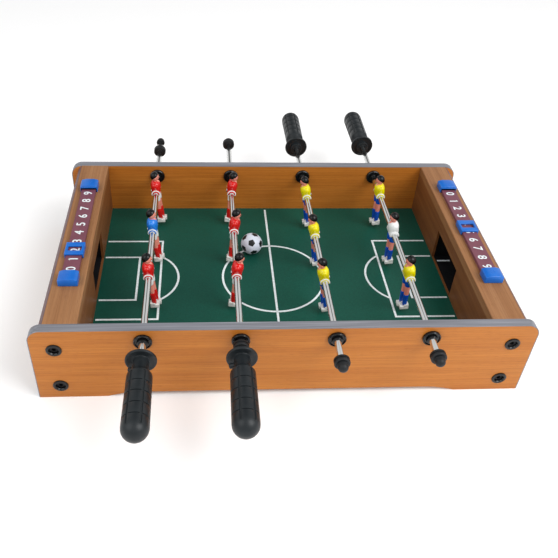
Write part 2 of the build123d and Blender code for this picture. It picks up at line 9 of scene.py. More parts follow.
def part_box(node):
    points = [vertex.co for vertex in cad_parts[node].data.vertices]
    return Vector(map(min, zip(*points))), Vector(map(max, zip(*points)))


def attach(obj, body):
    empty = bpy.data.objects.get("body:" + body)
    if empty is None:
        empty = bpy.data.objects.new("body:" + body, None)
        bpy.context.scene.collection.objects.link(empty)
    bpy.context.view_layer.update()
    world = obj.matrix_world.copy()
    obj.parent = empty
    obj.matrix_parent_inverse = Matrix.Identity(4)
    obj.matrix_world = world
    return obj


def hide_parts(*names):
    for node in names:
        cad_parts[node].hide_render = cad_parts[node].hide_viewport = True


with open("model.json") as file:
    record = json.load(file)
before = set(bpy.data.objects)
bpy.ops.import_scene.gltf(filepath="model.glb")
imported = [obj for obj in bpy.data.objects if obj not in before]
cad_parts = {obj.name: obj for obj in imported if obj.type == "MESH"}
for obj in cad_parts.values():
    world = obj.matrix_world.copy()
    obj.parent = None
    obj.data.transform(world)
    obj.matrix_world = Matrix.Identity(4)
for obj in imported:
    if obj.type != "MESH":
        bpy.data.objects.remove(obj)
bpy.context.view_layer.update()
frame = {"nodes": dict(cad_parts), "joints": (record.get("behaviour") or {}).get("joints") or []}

# ---------------------------------------------------------------- side boards
# Two boards of medium density fibreboard with a printed cherry foil on both faces.
# The foil is satin, its grain runs from goal to goal, and the pores print as short dark dashes.
MM = 0.001


def colour(code, alpha=1.0):
    """A linear colour from an sRGB hex value."""
    shares = [int(code[i:i + 2], 16) / 255 for i in (1, 3, 5)]
    return (*[c / 12.92 if c <= 0.04045 else ((c + 0.055) / 1.055) ** 2.4 for c in shares], alpha)


def new_material(name, **sockets):
    """A material whose shader has these values on its own sockets, such as Coat_Weight=0.2."""
    made = bpy.data.materials.new(name)
    made.use_nodes = True
    for socket, value in sockets.items():
        made.node_tree.nodes["Principled BSDF"].inputs[socket.replace("_", " ")].default_value = value
    return made


def add(made, kind, settings=None, inputs=None):
    """Adds a node. An input given as a (node, output) pair is linked, and any other is set."""
    new = made.node_tree.nodes.new(kind)
    for key, value in (settings or {}).items():
        if key == "stops":
            while len(new.color_ramp.elements) < len(value):
                new.color_ramp.elements.new(0.5)
            for element, (place, shade) in zip(new.color_ramp.elements, value):
                element.position = place
                element.color = shade
        else:
            setattr(new, key, value)
    for key, value in (inputs or {}).items():
        if isinstance(value, tuple) and isinstance(value[0], bpy.types.Node):
            made.node_tree.links.new(value[0].outputs[value[1]], new.inputs[key])
        else:
            new.inputs[key].default_value = value
    return new


def feed(made, **sources):
    """Links nodes to the shader's sockets, such as Base_Color=(node, output)."""
    shader = made.node_tree.nodes["Principled BSDF"]
    for socket, (source, output) in sources.items():
        made.node_tree.links.new(source.outputs[output], shader.inputs[socket.replace("_", " ")])


def stretched(along, length, width):
    """Scale of a pattern whose marks are this long along one axis and this wide across it."""
    return tuple(1 / length if axis == along else 1 / width for axis in "XYZ")


def printed_wood(name, pale, middle, dark, along, gloss=0.38, sheen=0.3):
    """Printed wood: slow bands of colour, fine streaks and short pore dashes."""
    made = new_material(name, Roughness=gloss, Specular_IOR_Level=sheen)
    place = add(made, "ShaderNodeTexCoord")
    bands_map = add(made, "ShaderNodeMapping", None,
                    {"Vector": (place, "Object"), "Scale": stretched(along, 300 * MM, 7 * MM)})
    bands = add(made, "ShaderNodeTexNoise", None,
                {"Vector": (bands_map, "Vector"), "Scale": 1.0, "Detail": 4.0, "Distortion": 0.3})
    streak_map = add(made, "ShaderNodeMapping", None,
                     {"Vector": (place, "Object"), "Scale": stretched(along, 70 * MM, 1.1 * MM)})
    streaks = add(made, "ShaderNodeTexNoise", None,
                  {"Vector": (streak_map, "Vector"), "Scale": 1.0, "Detail": 3.0})
    # the real pores are 0.1 mm wide; they are drawn 0.6 mm wide to show
    pore_map = add(made, "ShaderNodeMapping", None,
                   {"Vector": (place, "Object"), "Scale": stretched(along, 9 * MM, 0.6 * MM)})
    pores = add(made, "ShaderNodeTexNoise", None,
                {"Vector": (pore_map, "Vector"), "Scale": 1.0, "Detail": 2.0})
    wood = add(made, "ShaderNodeValToRGB",
               {"stops": [(0.30, colour(dark)), (0.50, colour(middle)), (0.72, colour(pale))]},
               {"Fac": (bands, "Fac")})
    streak_tone = add(made, "ShaderNodeValToRGB",
                      {"stops": [(0.34, (0.86, 0.82, 0.78, 1)), (0.64, (1.06, 1.06, 1.06, 1))]},
                      {"Fac": (streaks, "Fac")})
    pore_tone = add(made, "ShaderNodeValToRGB",
                    {"stops": [(0.30, (0.78, 0.72, 0.66, 1)), (0.42, (1, 1, 1, 1))]},
                    {"Fac": (pores, "Fac")})
    streaked = add(made, "ShaderNodeMix", {"data_type": "RGBA", "blend_type": "MULTIPLY"},
                   {0: 1.0, 6: (wood, "Color"), 7: (streak_tone, "Color")})
    pored = add(made, "ShaderNodeMix", {"data_type": "RGBA", "blend_type": "MULTIPLY"},
                {0: 0.8, 6: (streaked, 2), 7: (pore_tone, "Color")})
    relief = add(made, "ShaderNodeBump", None,
                 {"Strength": 0.12, "Distance": 0.05 * MM, "Height": (pores, "Fac")})
    feed(made, Base_Color=(pored, 2), Normal=(relief, "Normal"))
    return made


def finish_node(made, *nodes):
    """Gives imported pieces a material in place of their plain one."""
    for name in nodes:
        frame["nodes"][name].data.materials.clear()
        frame["nodes"][name].data.materials.append(made)


board_foil = printed_wood("cherry_foil_boards", "#BA752D", "#B46E28", "#AD6722", "X")
finish_node(board_foil, "side_board_front", "side_board_back")

# ---------------------------------------------------------------- edge bands
# Grey PVC banding, 0.8 mm, glued over the ends, corners and top of each side board.
# Trimming leaves faint lines along it and a paler line where the edge is nicked.
band_grey = new_material("pvc_edge_band", Roughness=0.45, Specular_IOR_Level=0.35)
band_place = add(band_grey, "ShaderNodeTexCoord")
band_map = add(band_grey, "ShaderNodeMapping", None,
               {"Vector": (band_place, "Object"), "Scale": stretched("X", 90 * MM, 1.5 * MM)})
band_lines = add(band_grey, "ShaderNodeTexNoise", None,
                 {"Vector": (band_map, "Vector"), "Scale": 1.0, "Detail": 3.0})
band_tone = add(band_grey, "ShaderNodeValToRGB",
                {"stops": [(0.32, colour("#65666C")), (0.55, colour("#787980")), (0.72, colour("#8B8C92"))]},
                {"Fac": (band_lines, "Fac")})
feed(band_grey, Base_Color=(band_tone, "Color"))
finish_node(band_grey, "edge_band_front", "edge_band_back")

# ---------------------------------------------------------------- ends
# Fibreboard tops, walls and goal panels with a browner, duller foil than the side boards.
# Its grain runs across the table, from one side board to the other. The goal panels take a darker copy of
# it: painted shade.
end_foil = printed_wood("walnut_foil_ends", "#9B704B", "#936742", "#8A5E3A", "Y", gloss=0.5)
finish_node(end_foil, "end_top_left", "end_top_right", "end_wall_left", "end_wall_right")
# The goal walls' foil is the end foil made darker: painted shade on the walls that face into the field.
shaded_goal_foil = printed_wood("walnut_foil_goal_walls_painted_shade", "#845530", "#794B28", "#6B4022", "Y", gloss=0.45)
finish_node(shaded_goal_foil, "goal_panel_left", "goal_panel_right")
raw_pine = printed_wood("raw_pine_battens", "#D8B27C", "#CBA36B", "#B98F58", "X", gloss=0.75)
finish_node(raw_pine, "corner_posts_left", "corner_posts_right", "field_rails")

# ---------------------------------------------------------------- end edge strips
# A thin dark plum strip lies along the bevelled outer edge of each end top.
# It is 0.3 mm thick and has a dull sheen.
plum_edge_strip = new_material("plum_coloured_edge_strip", Roughness=0.5, Specular_IOR_Level=0.3)
edge_strip_place = add(plum_edge_strip, "ShaderNodeTexCoord")
edge_strip_map = add(plum_edge_strip, "ShaderNodeMapping", None,
                  {"Vector": (edge_strip_place, "Object"), "Scale": stretched("Y", 40 * MM, 1.2 * MM)})
edge_strip_lines = add(plum_edge_strip, "ShaderNodeTexNoise", None,
                    {"Vector": (edge_strip_map, "Vector"), "Scale": 1.0, "Detail": 3.0})
edge_strip_tone = add(plum_edge_strip, "ShaderNodeValToRGB",
                   {"stops": [(0.3, colour("#5A4344")), (0.7, colour("#705456"))]},
                   {"Fac": (edge_strip_lines, "Fac")})
feed(plum_edge_strip, Base_Color=(edge_strip_tone, "Color"))
BEVEL_RUN = 4.5 * MM
BEVEL_DROP = 5.0 * MM
STRIP_THICK = 0.3 * MM


def deselect():
    """Leaves nothing selected, in object mode."""
    if bpy.context.object and bpy.context.object.mode != "OBJECT":
        bpy.ops.object.mode_set(mode="OBJECT")
    bpy.ops.object.select_all(action="DESELECT")


def named(name):
    """Names the piece just made, and its mesh."""
    piece = bpy.context.object
    piece.name = name
    piece.data.name = name
    return piece


def settle(piece):
    """Moves a piece's place, turn and size into its mesh."""
    deselect()
    piece.select_set(True)
    bpy.context.view_layer.objects.active = piece
    bpy.ops.object.transform_apply(location=True, rotation=True, scale=True)
    return piece


def wear(piece, made, body, slot, *replaced):
    """Gives a piece its material, the body that it moves with and what it stands for."""
    piece.data.materials.clear()
    piece.data.materials.append(made)
    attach(piece, body)
    if replaced:
        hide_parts(*replaced)


def bar(x0, x1, y0, y1, z0, z1):
    """A bar between two corners."""
    deselect()
    bpy.ops.mesh.primitive_cube_add(size=1, location=((x0 + x1) / 2, (y0 + y1) / 2, (z0 + z1) / 2))
    piece = bpy.context.object
    piece.scale = (x1 - x0, y1 - y0, z1 - z0)
    return settle(piece)


for end, side in (("left", -1), ("right", 1)):
    low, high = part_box(f"end_top_{end}")
    outer = high[0] if side > 0 else low[0]
    half = hypot(BEVEL_RUN, BEVEL_DROP) / 2 - STRIP_THICK
    edge_strip = bar(-half, half, low[1], high[1], 0, STRIP_THICK)
    named(f"end_edge_strip_{end}")
    edge_strip.rotation_euler = (0, side * atan2(BEVEL_DROP, BEVEL_RUN), 0)
    edge_strip.location = (outer - side * BEVEL_RUN / 2, 0, high[2] - BEVEL_DROP / 2)
    settle(edge_strip)
    wear(edge_strip, plum_edge_strip, "cabinet", "strip_plum")

# ---------------------------------------------------------------- playing field
# Hardboard with a printed satin green sheet. The print has a fine speckle,
# and the board's slight waves show in its sheen.
field_green = new_material("printed_green_hardboard", Roughness=0.45, Specular_IOR_Level=0.22)
field_place = add(field_green, "ShaderNodeTexCoord")
field_speckle = add(field_green, "ShaderNodeTexNoise", None,
                    {"Vector": (field_place, "Object"), "Scale": 1 / (1.3 * MM), "Detail": 2.0})
field_cloud = add(field_green, "ShaderNodeTexNoise", None,
                  {"Vector": (field_place, "Object"), "Scale": 1 / (120 * MM), "Detail": 2.0})
field_base = add(field_green, "ShaderNodeValToRGB",
                 {"stops": [(0.3, colour("#0D4539")), (0.7, colour("#114E40"))]},
                 {"Fac": (field_cloud, "Fac")})
field_dots = add(field_green, "ShaderNodeValToRGB",
                 {"stops": [(0.35, (0.86, 0.86, 0.86, 1)), (0.65, (1.12, 1.12, 1.12, 1))]},
                 {"Fac": (field_speckle, "Fac")})
field_mix = add(field_green, "ShaderNodeMix", {"data_type": "RGBA", "blend_type": "MULTIPLY"},
                {0: 1.0, 6: (field_base, "Color"), 7: (field_dots, "Color")})
field_relief = add(field_green, "ShaderNodeBump", None,
                   {"Strength": 0.15, "Distance": 0.05 * MM, "Height": (field_speckle, "Fac")})
feed(field_green, Base_Color=(field_mix, 2), Normal=(field_relief, "Normal"))
finish_node(field_green, "playfield")

# ---------------------------------------------------------------- field markings
# White screen print on the green sheet: halfway line, centre circle, two boxes and an arc
# at each goal. A thin white line also lies on the floor of each goal mouth.
FIELD_LOW, FIELD_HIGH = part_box("playfield")
FIELD_TOP = FIELD_HIGH[2]
MIDDLE_Y = (FIELD_LOW[1] + FIELD_HIGH[1]) / 2
PRINT = 0.12 * MM
LINE = 2.5 * MM
LINE_END = 205 * MM
CENTRE_RADIUS = 61 * MM
BIG_BOX = (136.1 * MM, 71.5 * MM)
SMALL_BOX = (162.8 * MM, 39.2 * MM)
ARC_CENTRE = 161.7 * MM
ARC_RADIUS = 47.3 * MM


def join(name, pieces):
    """Joins several meshes into one piece."""
    deselect()
    for piece in pieces:
        piece.select_set(True)
    bpy.context.view_layer.objects.active = pieces[0]
    if len(pieces) > 1:
        bpy.ops.object.join()
    return named(name)


def print_line(x0, y0, x1, y1, z=FIELD_TOP):
    """A thin flat straight line, square to the table."""
    half = LINE / 2
    low_x, high_x = sorted((x0, x1))
    low_y, high_y = sorted((y0, y1))
    if low_x == high_x:
        low_x, high_x = low_x - half, high_x + half
    else:
        low_y, high_y = low_y - half, high_y + half
    return bar(low_x, high_x, MIDDLE_Y + low_y, MIDDLE_Y + high_y, z, z + PRINT)


def print_arc(centre_x, radius, start, turn, steps):
    """A printed arc, spun from a short bar about its centre."""
    deselect()
    bpy.ops.mesh.primitive_plane_add(size=1, rotation=(pi / 2, 0, 0))
    bpy.context.object.scale = (LINE, PRINT, 1)
    piece = settle(bpy.context.object)
    piece.location = (radius, 0, PRINT / 2)
    settle(piece)
    bpy.ops.object.mode_set(mode="EDIT")
    bpy.ops.mesh.select_all(action="SELECT")
    bpy.ops.mesh.spin(steps=steps, angle=turn, center=(0, 0, 0), axis=(0, 0, 1))
    bpy.ops.mesh.select_all(action="SELECT")
    bpy.ops.mesh.remove_doubles(threshold=0.001 * MM)
    if turn < 2 * pi - 0.01:
        bpy.ops.mesh.select_all(action="DESELECT")
        bpy.ops.mesh.select_non_manifold()
        bpy.ops.mesh.edge_face_add()
    bpy.ops.mesh.select_all(action="SELECT")
    bpy.ops.mesh.normals_make_consistent(inside=False)
    bpy.ops.object.mode_set(mode="OBJECT")
    piece.rotation_euler = (0, 0, start)
    piece.location = (centre_x, MIDDLE_Y, FIELD_TOP)
    return settle(piece)


white_print_and_goal_lines = new_material("white_screen_print_and_goal_lines", Roughness=0.5)
white_place = add(white_print_and_goal_lines, "ShaderNodeTexCoord")
white_grain = add(white_print_and_goal_lines, "ShaderNodeTexNoise", None,
                  {"Vector": (white_place, "Object"), "Scale": 1 / (2 * MM), "Detail": 2.0})
white_tone = add(white_print_and_goal_lines, "ShaderNodeValToRGB",
                 {"stops": [(0.3, colour("#C9D3D6")), (0.65, colour("#E4EBEC"))]},
                 {"Fac": (white_grain, "Fac")})
feed(white_print_and_goal_lines, Base_Color=(white_tone, "Color"))

field_half = (FIELD_HIGH[1] - FIELD_LOW[1]) / 2 - 4 * MM
markings = [print_line(0, -field_half, 0, field_half), print_arc(0, CENTRE_RADIUS, 0, 2 * pi, 96)]
arc_half = acos((ARC_CENTRE - BIG_BOX[0]) / ARC_RADIUS)
for side in (-1, 1):
    for reach, half_width in (BIG_BOX, SMALL_BOX):
        for flank in (-1, 1):
            edge = flank * half_width
            markings.append(print_line(side * (reach - LINE / 2), edge, side * LINE_END, edge))
        inner = half_width - LINE / 2
        markings.append(print_line(side * reach, -inner, side * reach, inner))
    start = (pi if side > 0 else 0) + arc_half
    markings.append(print_arc(side * ARC_CENTRE, ARC_RADIUS, start, 2 * arc_half, 36))
wear(join("field_markings", markings), white_print_and_goal_lines, "cabinet", "figure_white")

# A thin white line on the floor of each goal mouth, level with the field top.
GOAL_STRIPE = (211.5 * MM, 228 * MM, 29.7 * MM)
stripes = []
for side in (-1, 1):
    near, far, off = GOAL_STRIPE
    stripes.append(print_line(side * near, side * off, side * far, side * off))
wear(join("goal_stripes", stripes), white_print_and_goal_lines, "cabinet", "figure_white")

# ---------------------------------------------------------------- goals
# Black polypropylene cups screwed behind the goal mouths. Moulded, with a fine spark texture
# that keeps them matt, so the mouths read as dark holes.
def moulded(name, dark, pale, gloss, grit, depth, coat=0.0, sheen=0.4):
    """Moulded plastic: a faint mottle and a fine grain in the surface."""
    made = new_material(name, Roughness=gloss, Coat_Weight=coat, Coat_Roughness=0.12,
                        Specular_IOR_Level=sheen)
    place = add(made, "ShaderNodeTexCoord")
    grain = add(made, "ShaderNodeTexNoise", None,
                {"Vector": (place, "Object"), "Scale": 1 / grit, "Detail": 3.0})
    mottle = add(made, "ShaderNodeTexNoise", None,
                 {"Vector": (place, "Object"), "Scale": 1 / (14 * MM), "Detail": 3.0})
    tone = add(made, "ShaderNodeValToRGB", {"stops": [(0.3, colour(dark)), (0.7, colour(pale))]},
               {"Fac": (mottle, "Fac")})
    relief = add(made, "ShaderNodeBump", None,
                 {"Strength": depth, "Distance": 0.05 * MM, "Height": (grain, "Fac")})
    feed(made, Base_Color=(tone, "Color"), Normal=(relief, "Normal"))
    return made


goal_black = moulded("spark_textured_polypropylene", "#0E0F11", "#151618", 0.6, 0.8 * MM, 0.4, sheen=0.15)
finish_node(goal_black, "goal_cup_left", "goal_cup_right")

# ---------------------------------------------------------------- bushes, washers and bolts
# Acetal bushes carry the rods: a flanged sleeve from outside and a collar from inside.
# The corner bolts sit in black cup washers and are blacked steel.
acetal_black = moulded("moulded_black_acetal", "#0A0B0D", "#111315", 0.2, 1.2 * MM, 0.08, sheen=0.35)
finish_node(acetal_black, "bush_sleeves", "bush_collars", "bolt_washers")
blacked_steel = moulded("blacked_steel", "#202022", "#2C2C2E", 0.35, 0.6 * MM, 0.2)
blacked_steel.node_tree.nodes["Principled BSDF"].inputs["Metallic"].default_value = 0.8
finish_node(blacked_steel, "corner_bolts")

# ---------------------------------------------------------------- score strips
# Printed plum polystyrene strips with white figures 0 to 9, one on each end. Each is held by
# a glossy blue cap at both ends.
strip_plum = moulded("printed_polystyrene_strip", "#6A3C48", "#744451", 0.4, 1 * MM, 0.1, sheen=0.3)
finish_node(strip_plum, "score_strip_left", "score_strip_right")
DIGIT_TALL = 9.8 * MM
DIGIT_PRINT = 0.05 * MM


def score_digit(text, x, y, z, turn):
    """One printed figure, lying on the strip."""
    deselect()
    bpy.ops.object.text_add(location=(0, 0, 0))
    word = bpy.context.object
    word.data.body = text
    word.data.align_x = "CENTER"
    word.data.align_y = "CENTER"
    word.data.size = DIGIT_TALL / 0.70
    word.data.offset = 0.2 * MM
    word.data.extrude = DIGIT_PRINT
    word.data.resolution_u = 4
    bpy.ops.object.convert(target="MESH")
    piece = bpy.context.object
    if text == "1":
        half = 0.07 * DIGIT_TALL
        flag = bar(-0.28 * DIGIT_TALL, 0, -half, half, -DIGIT_PRINT, DIGIT_PRINT)
        flag.rotation_euler = (0, 0, radians(38))
        flag.location = (0.03 * DIGIT_TALL, 0.58 * DIGIT_TALL, 0)
        piece = join("figure_one", [piece, settle(flag)])
    bpy.ops.object.origin_set(type="ORIGIN_GEOMETRY", center="BOUNDS")
    piece.rotation_euler = (0, 0, turn)
    piece.location = (x, y, z + DIGIT_PRINT)
    return settle(piece)


SCORE_CAP_LONG = 16 * MM
STRIP_SHOWN = {}
for end, turn, first in (("left", pi / 2, -1), ("right", -pi / 2, 1)):
    low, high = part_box(f"score_strip_{end}")
    cap_low, cap_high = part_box(f"score_caps_{end}")
    start, stop = cap_low[1] + SCORE_CAP_LONG, cap_high[1] - SCORE_CAP_LONG
    pitch = (stop - start) / 10
    STRIP_SHOWN[end] = (start, stop)
    digits = []
    for value in range(10):
        from_start = pitch * (value + 0.5)
        y = start + from_start if first < 0 else stop - from_start
        digits.append(score_digit(str(value), (low[0] + high[0]) / 2, y, high[2], turn))
    wear(join(f"score_digits_{end}", digits), white_print_and_goal_lines, "cabinet", "figure_white")

# ---------------------------------------------------------------- score caps and markers
# Glossy blue ABS mouldings: a crowned cap over each end of a strip, with a small round mould
# mark on top, and a marker frame that slides along the strip and shows one figure.
abs_blue = moulded("glossy_blue_abs", "#0E5CB4", "#1466BE", 0.28, 2 * MM, 0.06, sheen=0.4)
CAP_EDGE = 1.0 * MM
CAP_CROWN = 1.7 * MM
SLOT_HALF = 8.7 * MM


def soften(piece, width, segments=3, angle=40):
    """Rounds a piece's sharp edges and smooths what is left."""
    deselect()
    piece.select_set(True)
    bpy.context.view_layer.objects.active = piece
    rounding = piece.modifiers.new("rounding", "BEVEL")
    rounding.width = width
    rounding.segments = segments
    rounding.limit_method = "ANGLE"
    rounding.angle_limit = radians(angle)
    rounding.harden_normals = False
    bpy.ops.object.modifier_apply(modifier=rounding.name)
    bpy.ops.object.shade_smooth_by_angle(angle=radians(35))
    return piece


def cut_away(piece, cutter):
    """Cuts one solid out of another."""
    deselect()
    piece.select_set(True)
    bpy.context.view_layer.objects.active = piece
    cutting = piece.modifiers.new("cutting", "BOOLEAN")
    cutting.operation = "DIFFERENCE"
    cutting.solver = "EXACT"
    cutting.object = cutter
    bpy.ops.object.modifier_apply(modifier=cutting.name)
    bpy.data.objects.remove(cutter)
    return piece


def select_where(test):
    """In edit mode, selects just the faces that pass a test."""
    mesh = bmesh.from_edit_mesh(bpy.context.object.data)
    bpy.context.tool_settings.mesh_select_mode = (False, False, True)
    for face in mesh.faces:
        face.select_set(False)
    for face in mesh.faces:
        if test(face):
            face.select_set(True)
    mesh.select_flush_mode()
    bmesh.update_edit_mesh(bpy.context.object.data)


def score_cap(x, y0, y1, open_side, z0, z1, width):
    """A crowned cap with a slot below for the strip."""
    side = z1 - CAP_CROWN
    piece = bar(x - width / 2, x + width / 2, y0, y1, z0, side)
    bpy.ops.object.mode_set(mode="EDIT")
    select_where(lambda face: face.normal.z > 0.9)
    bpy.ops.mesh.extrude_region_move(TRANSFORM_OT_translate={"value": (0, 0, z1 - side)})
    bpy.ops.transform.resize(value=(0.45, 1, 1), center_override=(x, (y0 + y1) / 2, z1))
    bpy.ops.object.mode_set(mode="OBJECT")
    wall = 3.5 * MM
    shift = wall if open_side > 0 else -wall
    cut_away(piece, bar(x - SLOT_HALF, x + SLOT_HALF, y0 + shift, y1 + shift, z0 - wall, z0 + 5.3 * MM))
    soften(piece, CAP_EDGE, angle=30)
    deselect()
    bpy.ops.mesh.primitive_torus_add(location=(x, (y0 + y1) / 2, z1 - 0.05 * MM), major_segments=32,
                                     minor_segments=8, major_radius=2.3 * MM, minor_radius=0.2 * MM)
    mark = bpy.context.object
    bpy.ops.object.shade_smooth()
    return join("score_cap", [piece, settle(mark)])


def score_marker(low, high):
    """The sliding frame: two legs beside the strip and a window over one figure."""
    x, y = (low[0] + high[0]) / 2, (low[1] + high[1]) / 2
    top_low = high[2] - 2.6 * MM
    piece = bar(low[0], high[0], low[1], high[1], low[2], high[2])
    cut_away(piece, bar(x - SLOT_HALF, x + SLOT_HALF, low[1] - MM, high[1] + MM, low[2] - MM, top_low))
    cut_away(piece, bar(x - 7.3 * MM, x + 7.3 * MM, y - 4 * MM, y + 4 * MM, low[2], high[2] + MM))
    return soften(piece, 0.7 * MM)


for end in ("left", "right"):
    low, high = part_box(f"score_caps_{end}")
    x, width = (low[0] + high[0]) / 2, high[0] - low[0]
    start, stop = STRIP_SHOWN[end]
    caps = [score_cap(x, low[1], start, 1, low[2], high[2], width),
            score_cap(x, stop, high[1], -1, low[2], high[2], width)]
    wear(join(f"score_caps_blue_{end}", caps), abs_blue, "cabinet", "marker_blue", f"score_caps_{end}")
    marker = score_marker(*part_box(f"score_marker_{end}"))
    marker.name = marker.data.name = f"score_marker_blue_{end}"
    wear(marker, abs_blue, f"score_marker_{end}", "marker_blue", f"score_marker_{end}")

# ---------------------------------------------------------------- rods
# Drawn steel tube, chrome plated. It runs through the bushes, with faint lengthwise rub marks.
# How each rod has been left: heads towards +X in degrees, and which side its handle is on.
ROD_TILT = {1: -3.3, 2: 7.2, 3: -10.8, 4: -4.7}
ROD_SIDE = {1: -1, 2: -1, 3: 1, 4: 1}
rod_place = {}
for joint in frame["joints"]:
    if joint["name"].endswith("_spin"):
        rod_place[int(joint["name"].split("_")[1])] = Vector(joint["pos_m"])

chrome = new_material("chrome_plated_steel", Metallic=1.0, Roughness=0.1, Base_Color=colour("#DADBDA"))
chrome_place = add(chrome, "ShaderNodeTexCoord")
chrome_map = add(chrome, "ShaderNodeMapping", None,
                 {"Vector": (chrome_place, "Object"), "Scale": stretched("Y", 120 * MM, 0.9 * MM)})
chrome_rub = add(chrome, "ShaderNodeTexNoise", None,
                 {"Vector": (chrome_map, "Vector"), "Scale": 1.0, "Detail": 2.0})
chrome_tone = add(chrome, "ShaderNodeValToRGB",
                  {"stops": [(0.35, (0.07, 0.07, 0.07, 1)), (0.7, (0.15, 0.15, 0.15, 1))]},
                  {"Fac": (chrome_rub, "Fac")})
feed(chrome, Roughness=(chrome_tone, "Color"))
ROD_RADIUS = 3.5 * MM

for number, place in rod_place.items():
    low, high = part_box(f"rod_{number}")
    deselect()
    bpy.ops.mesh.primitive_cylinder_add(vertices=48, radius=ROD_RADIUS, depth=high[1] - low[1],
                                        location=(place.x, (low[1] + high[1]) / 2, place.z),
                                        rotation=(pi / 2, 0, 0))
    rod = soften(settle(named(f"chrome_rod_{number}")), 0.4 * MM, segments=2)
    wear(rod, chrome, f"rod_{number}", "chrome_rod", f"rod_{number}")

# ---------------------------------------------------------------- handles
# Black polypropylene grips, moulded in one piece with a dished guard flange and pressed onto
# the rod. Six rows of pads, parted by sunk grooves along and across, run out into the dome.
GRIP_SIDES = 72
PAD_ROWS = 6
GROOVE_DEEP = 1.0 * MM
GROOVE_SLOPE = 0.15 * MM
GRIP_NEAR = 12.2 * MM
GRIP_FAR = 12.8 * MM
DOME_AT = 78 * MM
DOME_FIRST = 12
PAD_STARTS = (20.6, 32.9, 45.4, 58.4, 70.9)
PAD_GAP = 0.9
grip_black = moulded("satin_black_polypropylene", "#14191C", "#1B2023", 0.4, 0.9 * MM, 0.2, sheen=0.3)


def ringed(name, sides, rings):
    """A closed round solid about the Z axis through rings of (height, radius), in metres."""
    deselect()
    (low, first), (high, second) = rings[:2]
    bpy.ops.mesh.primitive_cone_add(vertices=sides, radius1=first, radius2=second, depth=high - low,
                                    location=(0, 0, (low + high) / 2), end_fill_type="NGON")
    piece = settle(named(name))
    bpy.ops.object.mode_set(mode="EDIT")
    select_where(lambda face: face.calc_center_median().z > high - 1e-7 and abs(face.normal.z) > 0.9)
    for (z, radius), (next_z, next_radius) in zip(rings[1:], rings[2:]):
        bpy.ops.mesh.extrude_region_move(TRANSFORM_OT_translate={"value": (0, 0, next_z - z)})
        share = next_radius / radius
        bpy.ops.transform.resize(value=(share, share, 1), center_override=(0, 0, next_z))
    bpy.ops.object.mode_set(mode="OBJECT")
    return piece


def grip_rings():
    """Rings of a handle from the boss at the table side to the tip of its dome."""
    rings = [(-6.7, 4.6), (-6.6, 5.2), (-5.5, 5.2), (-5.5, 7.3), (-5.1, 7.7), (-0.6, 7.7),
             (-0.6, 12.1), (-1.2, 13.0), (-1.5, 13.7), (-1.5, 14.7), (-0.9, 15.3), (0.9, 15.3),
             (1.5, 14.7), (1.5, 13.6), (0.9, 12.6),
             (0.9, 8.3), (1.6, 8.0), (13.8, 8.0), (15.4, 8.8), (18.4, 11.4), (19.6, 12.05)]
    spread = (GRIP_FAR - GRIP_NEAR) / MM
    ends = list(PAD_STARTS[1:]) + [DOME_AT / MM + PAD_GAP]
    for start, end in zip(PAD_STARTS, ends):
        for z in (start, end - PAD_GAP):
            share = (z - PAD_STARTS[0]) / (DOME_AT / MM - PAD_STARTS[0])
            rings.append((z, GRIP_NEAR / MM + spread * min(share, 1)))
    far = GRIP_FAR / MM
    for angle in (DOME_FIRST, 22, 34, 46, 58, 69, 79, 86):
        rings.append((DOME_AT / MM + far * sin(radians(angle)), far * cos(radians(angle))))
    return [(z * MM, r * MM) for z, r in rings]


def on_pad(face):
    """Whether a face lies on a pad row, and not in the groove between two rows."""
    middle = face.calc_center_median()
    step = GRIP_SIDES // PAD_ROWS
    turn = atan2(middle.y, middle.x) % (2 * pi)
    return 1 <= int(turn / (2 * pi) * GRIP_SIDES) % step < step - 1


def grip():
    """One handle about the Z axis, flange at zero and dome upwards."""
    piece = ringed("grip", GRIP_SIDES, grip_rings())
    gaps = [((stop - PAD_GAP) * MM, stop * MM) for stop in PAD_STARTS[1:]]
    dome_ring = DOME_AT + GRIP_FAR * sin(radians(DOME_FIRST))
    bpy.ops.object.mode_set(mode="EDIT")

    def sunk(face):
        z = face.calc_center_median().z
        if abs(face.normal.z) > 0.9 or not PAD_STARTS[0] * MM < z < dome_ring:
            return False
        return not on_pad(face) or any(a < z < b for a, b in gaps)

    select_where(sunk)
    bpy.ops.mesh.inset(thickness=GROOVE_SLOPE, depth=-GROOVE_DEEP, use_even_offset=True)
    bpy.ops.object.mode_set(mode="OBJECT")
    soften(piece, 0.22 * MM, segments=2, angle=32)
    return piece


def grub_lug():
    """The stub beside the neck, open at its end, that the grub screw sits in."""
    lug = ringed("lug", 24, [(5 * MM, 2.7 * MM), (12.3 * MM, 2.7 * MM), (12.9 * MM, 2.2 * MM),
                             (12.9 * MM, 1.3 * MM), (11.2 * MM, 1.2 * MM)])
    lug.rotation_euler = (0, pi / 2, 0)
    settle(lug)
    lug.rotation_euler = (0, radians(-205), 0)
    settle(lug)
    lug.location = (0, -7 * MM, 0)
    bpy.ops.object.shade_smooth_by_angle(angle=radians(35))
    return settle(lug)


def on_rod(piece, number, y):
    """Puts a piece that was made about the Y axis, handle towards -Y, on its rod."""
    place = rod_place[number]
    turn = Matrix.Rotation(radians(ROD_TILT[number]), 4, "Y")
    if ROD_SIDE[number] > 0:
        turn = turn @ Matrix.Rotation(pi, 4, "Z")
    piece.data.transform(Matrix.Translation((place.x, y, place.z)) @ turn)
    piece.data.update()
    return piece


def copy_of(piece, name):
    """A copy with a mesh of its own."""
    twin = piece.copy()
    twin.data = piece.data.copy()
    bpy.context.scene.collection.objects.link(twin)
    twin.name = twin.data.name = name
    return twin


